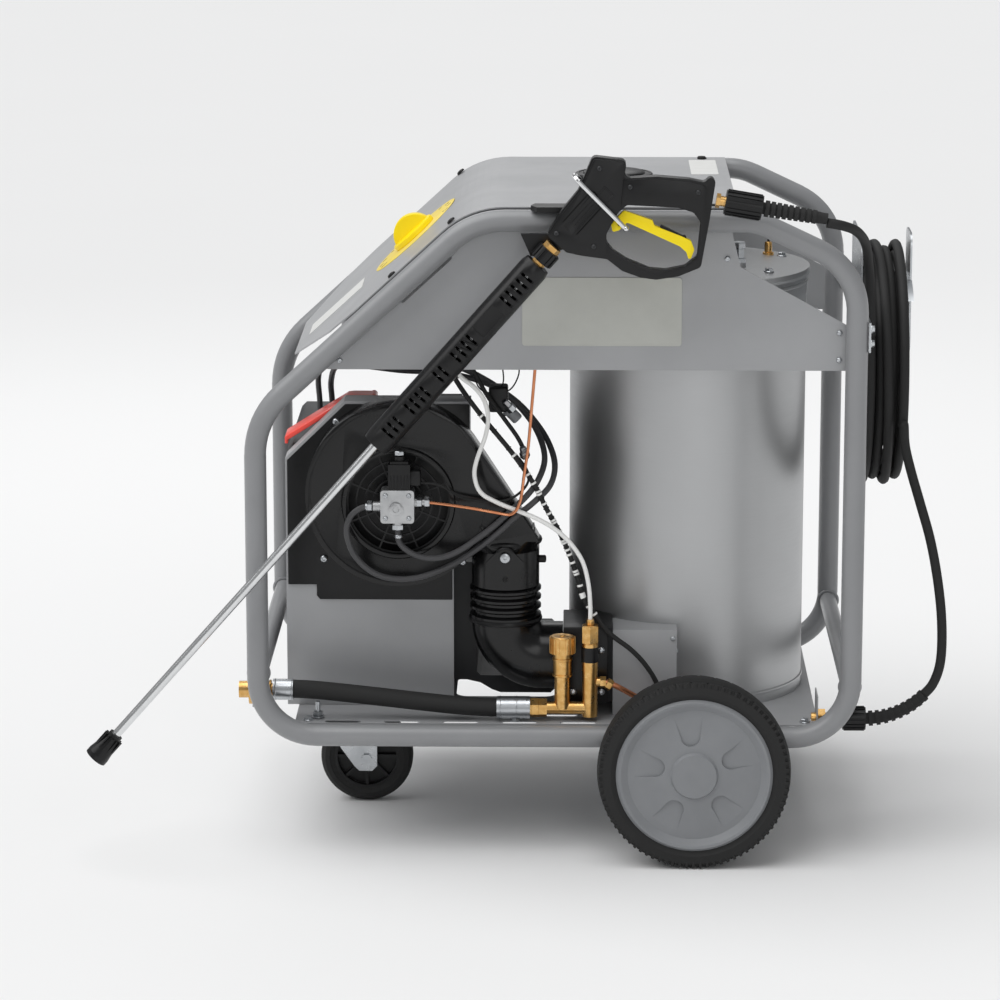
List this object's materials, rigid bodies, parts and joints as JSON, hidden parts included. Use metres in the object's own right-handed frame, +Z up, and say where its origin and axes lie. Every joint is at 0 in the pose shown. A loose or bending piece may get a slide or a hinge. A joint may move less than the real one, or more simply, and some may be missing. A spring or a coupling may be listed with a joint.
{
  "type": "hot water pressure washer",
  "caption": "Hot water pressure washer in a tubular steel cage on wheels, with upright boiler, blower burner, coiled high pressure hose and hung trigger gun with lance.",
  "frame": {"origin": "on the floor under the middle of the machine's overall box, hose and its fittings left out", "axes": "+X along the machine from the caster end towards the hose rack, +Y towards the side away from the gun, +Z up"},
  "size_m": [1.3353, 0.76, 1.1063],
  "materials": {
    "frame_paint": "satin powder coat",
    "sheet_paint": "satin powder coat",
    "motor_paint": "satin paint",
    "zinc": "zinc plated",
    "stainless": "brushed",
    "cast_alloy": "cast",
    "brass": "turned",
    "copper": "drawn copper pipe",
    "tyre": "matte",
    "black_rubber": "matte",
    "black_plastic": "fine grain",
    "dark_plastic": "blow moulded",
    "grey_plastic": "moulded",
    "yellow_plastic": "moulded",
    "red_plastic": "moulded",
    "white_plastic": "smooth hose"
  },
  "bodies": {
    "machine": {"side_frame_left": "frame_paint", "side_frame_right": "frame_paint", "cross_tubes": "frame_paint", "base_tray": "frame_paint", "axle": "zinc", "caster_plate": "zinc", "top_cover": "sheet_paint", "side_panel_left": "sheet_paint", "side_panel_right": "sheet_paint", "boiler_shell": "stainless", "boiler_lid": "stainless", "heating_coil": "stainless", "burner_box": "sheet_paint", "burner_flange": "black_plastic", "blower_bracket": "sheet_paint", "blower_plate": "black_plastic", "blower_volute": "black_plastic", "intake_grille": "black_plastic", "air_duct": "black_plastic", "duct_elbow": "black_plastic", "drive_motor": "motor_paint", "high_pressure_pump": "cast_alloy", "fuel_pump": "cast_alloy", "solenoid_coil": "black_plastic", "fuel_tank": "dark_plastic", "water_inlet": "brass", "inlet_hose": "black_rubber", "hose_ferrules": "zinc", "brass_manifold": "brass", "safety_valve": "brass", "flow_sensor": "brass", "copper_pipes": "copper", "fuel_hoses": "black_rubber", "white_hose": "white_plastic", "cable_conduit": "black_plastic", "hose_rack": "zinc", "hose_nipples": "brass", "gun_holder": "black_plastic", "gun_body": "black_plastic", "lance_nut": "black_plastic", "lance_handle": "black_plastic", "lance_tube": "stainless", "lance_nozzle": "black_plastic", "hose_nuts": "black_plastic", "hose_boots": "black_rubber", "hose_to_gun": "black_rubber", "hose_coil": "black_rubber", "hose_to_outlet": "black_rubber"},
    "left_wheel": {"tyre_left": "tyre", "rim_left": "grey_plastic"},
    "right_wheel": {"tyre_right": "tyre", "rim_right": "grey_plastic"},
    "caster_fork": {"caster_fork": "zinc"},
    "caster_wheel": {"caster_core": "black_plastic", "caster_tyre": "black_rubber"},
    "control_knob": {"control_knob": "yellow_plastic"},
    "trigger": {"trigger": "yellow_plastic"},
    "trigger_lock": {"trigger_lock": "black_plastic"},
    "fuel_flap": {"fuel_flap": "red_plastic"},
    "blower_fan": {"blower_fan": "black_plastic"}
  },
  "joints": [
    {"name": "left_wheel_spin", "type": "hinge", "parent": "machine", "child": "left_wheel", "pos_m": [0.29738, -0.347, 0.15], "axis": [0, 1, 0], "continuous": true},
    {"name": "right_wheel_spin", "type": "hinge", "parent": "machine", "child": "right_wheel", "pos_m": [0.29738, 0.347, 0.15], "axis": [0, 1, 0], "continuous": true},
    {"name": "caster_swivel", "type": "hinge", "parent": "machine", "child": "caster_fork", "pos_m": [-0.26962, 0, 0.16], "axis": [0, 0, 1], "continuous": true},
    {"name": "caster_wheel_spin", "type": "hinge", "parent": "caster_fork", "child": "caster_wheel", "pos_m": [-0.22562, 0, 0.075], "axis": [0, 1, 0], "continuous": true},
    {"name": "knob_turn", "type": "hinge", "parent": "machine", "child": "control_knob", "pos_m": [-0.14213, -0.026, 0.93683], "axis": [-0.6757, 0, 0.7372], "range_deg": [0, 270]},
    {"name": "trigger_pull", "type": "hinge", "parent": "machine", "child": "trigger", "pos_m": [0.17638, -0.349, 1.004], "axis": [0, -1, 0], "range_deg": [0, 10], "stiffness_Nm_per_rad": 3, "springref_deg": -8.59},
    {"name": "lock_swing", "type": "hinge", "parent": "trigger", "child": "trigger_lock", "pos_m": [0.27338, -0.349, 0.983], "axis": [0, 1, 0], "range_deg": [0, 55]},
    {"name": "flap_open", "type": "hinge", "parent": "machine", "child": "fuel_flap", "pos_m": [-0.20762, -0.086, 0.686], "axis": [0, 1, 0], "range_deg": [0, 50]},
    {"name": "fan_spin", "type": "hinge", "parent": "machine", "child": "blower_fan", "pos_m": [-0.16262, -0.2, 0.547], "axis": [0, 1, 0], "continuous": true}
  ]
}
